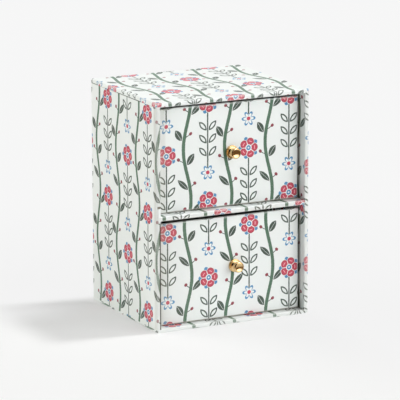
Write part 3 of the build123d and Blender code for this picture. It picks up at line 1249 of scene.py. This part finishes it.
def turning_tree():
    """Turns a half section, drawn as a row of points, about its upright axis."""
    tree, given = new_group("turn_on_lathe", {"Sides": 72, "Stations": 60, "Metal": None})
    sides, stations = given["Sides"], given["Stations"]
    size = {"Vertices X": sides + 1.0, "Vertices Y": stations}
    grid = result(tree, "GeometryNodeMeshGrid", size, "Mesh")
    index = result(tree, "GeometryNodeInputIndex")
    turn = (index / stations).math("FLOOR") / sides * (2 * math.pi)
    section = {
        "Geometry": given["Geometry"],
        "Value": result(tree, "GeometryNodeInputPosition"),
        "Index": index % stations,
    }
    point = result(tree, "GeometryNodeSampleIndex", section, data_type="FLOAT_VECTOR")
    radius, _, height = parts_of(point)
    turning = {
        "Geometry": grid, "Name": "turning", "Value": vector_of(radius / MM, height / MM, turn)
    }
    marked = result(
        tree, "GeometryNodeStoreNamedAttribute", turning, data_type="FLOAT_VECTOR", domain="POINT"
    )
    place = vector_of(radius * turn.math("COSINE"), radius * turn.math("SINE"), height)
    turned = {"Geometry": marked, "Position": place}
    finish_group(welded(result(tree, "GeometryNodeSetPosition", turned)), given["Metal"])
    return tree


class Knobs(Operator):
    """Turn both brass knobs, and plate the screws and washers behind them"""

    bl_idname = "storage_box.knobs"
    bl_label = "Knobs"

    def execute(self, context):
        k = settings("knob")
        tree = turning_tree()
        points = [(p.real, 0.0, p.imag) for p in knob_profile(k)]
        inputs = {"Sides": k.sides, "Stations": len(points)}
        inputs["Metal"] = brass_material("turned_brass", tuple(k.brass))
        steel = steel_material("zinc_plating")
        for which in DRAWERS:
            section = bpy.data.meshes.new("knob_section")
            section.from_pydata(points, [], [])
            knob = applied(section, tree, f"{which}_turned_knob", **inputs)
            low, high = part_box(f"{which}_knob")
            middle = (low + high) / 2
            place = facing((1, 0, 0), (middle.x, high.y, middle.z))
            fit_piece(knob, place, f"{which}_drawer", f"{which}_knob", sharp=50)
            for part in ("knob_washer", "knob_screw"):
                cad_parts[f"{which}_{part}"].material_slots[0].material = steel
        return {"FINISHED"}


# The studio


def floor_material(name, s):
    """Pale paper. For the camera its white is lifted, by most where only the fill lights cast
    faint shadows. Glossy rays meet a dark far floor. Places are metres from the box's middle."""
    material = new_material(name)
    tree = material.node_tree
    place = own_place(tree)
    across, along, _ = parts_of(place)
    away = root_of_squares(across, along)
    seen = path_kind(tree, "Is Camera Ray")
    far = remap(away, 0.12, 0.27, 0.0, s.far_floor)
    shade = mixed(noise(place, 60.0), tuple(s.floor), darker(s.floor, 0.998))
    shade = mixed(far * path_kind(tree, "Is Glossy Ray"), shade, (0.12, 0.06, 0.015))
    # The key light's shadow ends at key_edge; towards its tip the camera sees painted light that
    # fades it out
    key_edge = along + (across - CASE_LOW.x) * (KEY_LIGHT[1] / -KEY_LIGHT[0])
    behind = remap(key_edge, HALF_DEPTH - 0.010, HALF_DEPTH + 0.012)
    beside = remap(across, 0.0, HALF_WIDTH + 0.010)
    fading = remap(across, -0.170, -0.081, 0.8, 0.0) * remap(along, 0.010, 0.050)
    cleared = behind.at_least(beside).at_least(fading)
    lift = cleared * (s.clear_floor - s.floor_lift) + s.floor_lift
    # Near the box the camera sees the floor up to 3 % darker: painted shade
    unlit = seen * (remap(away, 0.10, 0.45, 0.03, 0.0) + lift)
    shade = mixed(unlit, shade, (0.0, 0.0, 0.0))
    more = {
        "Emission Color": (1.0, 1.0, 1.0, 1.0),
        "Emission Strength": seen * lift * FLOOR_WHITE,
        "Specular IOR Level": 0.0,
    }
    return surface(material, shade, 1.0, more=more)


def add_floor(s):
    corners = [(x * FLOOR_HALF, y * FLOOR_HALF, 0) for x, y in ((-1, -1), (1, -1), (1, 1), (-1, 1))]
    mesh = bpy.data.meshes.new("studio_floor")
    mesh.from_pydata(corners, [], [(0, 1, 2, 3)])
    mesh.materials.append(floor_material("studio_paper", s))
    new_object("studio_floor", mesh)


def add_sky(scene, s):
    """An even sky with a dark side, two low fills, and panels that only glossy rays meet."""
    world = bpy.data.worlds.new("studio_sky")
    scene.world = world
    world.use_nodes = True
    sky = world.node_tree
    background = next(node for node in sky.nodes if node.type == "BACKGROUND")
    direction = result(sky, "ShaderNodeTexCoord", output="Generated")

    def towards(aim, outer, inner, level_in, level_out=0.0):
        """One level inside a cone round aim, another outside, by the cosines of its edges."""
        closeness = dot_product(direction, Vector(aim).normalized())
        return remap(closeness, outer, inner, level_out, level_in)

    dark = towards(DARK_SIDE, 0.70, 0.95, 1.0 - s.dark, 1.0)
    light = dark * s.sky * remap(parts_of(direction)[2], 0.0, 0.35, 1.0 - s.horizon, 1.0)
    light = light + towards(FRONT_FILL, 0.76, 0.95, s.front_fill)
    panels = towards(OVERHEAD, 0.78, 0.86, s.gleam) + towards(BACKDROP, 0.60, 0.85, 1.0)
    warm = towards(SIDE_FILL, 0.74, 0.95, s.side_fill)
    light = light + panels * path_kind(sky, "Is Glossy Ray") + warm
    connect(background.inputs["Color"], vector_of(light, light, light - warm * 0.05))


def add_key_light(s):
    sun = bpy.data.lights.new("key_light", "SUN")
    sun.energy = s.key
    sun.angle = s.key_softness
    turn = Vector(KEY_LIGHT).to_track_quat("Z", "Y")
    new_object("key_light", sun).rotation_euler = turn.to_euler()


def add_camera(scene, s):
    camera = bpy.data.cameras.new("camera")
    camera.lens = s.lens
    camera.sensor_width = SENSOR_WIDTH
    camera.shift_x, camera.shift_y = CAMERA_SHIFT
    camera.clip_end = 100.0
    level = math.cos(s.elevation)
    back = Vector((
        math.sin(s.azimuth) * level, -math.cos(s.azimuth) * level, math.sin(s.elevation)
    ))
    turn = back.to_track_quat("Z", "Y") @ Quaternion((0.0, 0.0, 1.0), s.roll)
    scene.camera = new_object("camera", camera)
    scene.camera.location = Vector(CAMERA_AIM) + back * s.distance
    scene.camera.rotation_euler = turn.to_euler()


class Studio(Operator):
    """Set up the pale floor, the light and the camera"""

    bl_idname = "storage_box.studio"
    bl_label = "Studio"

    def execute(self, context):
        scene = context.scene
        scene.view_settings.view_transform = "Standard"
        s = settings("studio")
        add_floor(s)
        add_sky(scene, s)
        add_key_light(s)
        add_camera(scene, s)
        return {"FINISHED"}


class StorageBoxPanel(Panel):
    """Lists the steps that dress the storage box"""

    bl_idname = "VIEW3D_PT_storage_box"
    bl_label = "Storage Box"
    bl_space_type = "VIEW_3D"
    bl_region_type = "UI"
    bl_category = "Storage Box"

    def draw(self, context):
        for step in STEPS:
            self.layout.operator(step.bl_idname)


SETTINGS = {
    "storage_box_cover": CoverSettings,
    "storage_box_print": PrintSettings,
    "storage_box_knob": KnobSettings,
    "storage_box_studio": StudioSettings,
}
STEPS = (CaseCover, DrawerCovers, BoardsAndLinings, Knobs, Studio)


def register():
    for name, group in SETTINGS.items():
        bpy.utils.register_class(group)
        setattr(bpy.types.Scene, name, PointerProperty(type=group))
    for kind in (*STEPS, StorageBoxPanel):
        bpy.utils.register_class(kind)


def unregister():
    for kind in reversed((*STEPS, StorageBoxPanel)):
        bpy.utils.unregister_class(kind)
    for name, group in reversed(SETTINGS.items()):
        delattr(bpy.types.Scene, name)
        bpy.utils.unregister_class(group)


def main():
    register()
    for step in STEPS:
        group, name = step.bl_idname.split(".")
        getattr(getattr(bpy.ops, group), name)()


if __name__ == "__main__":
    main()
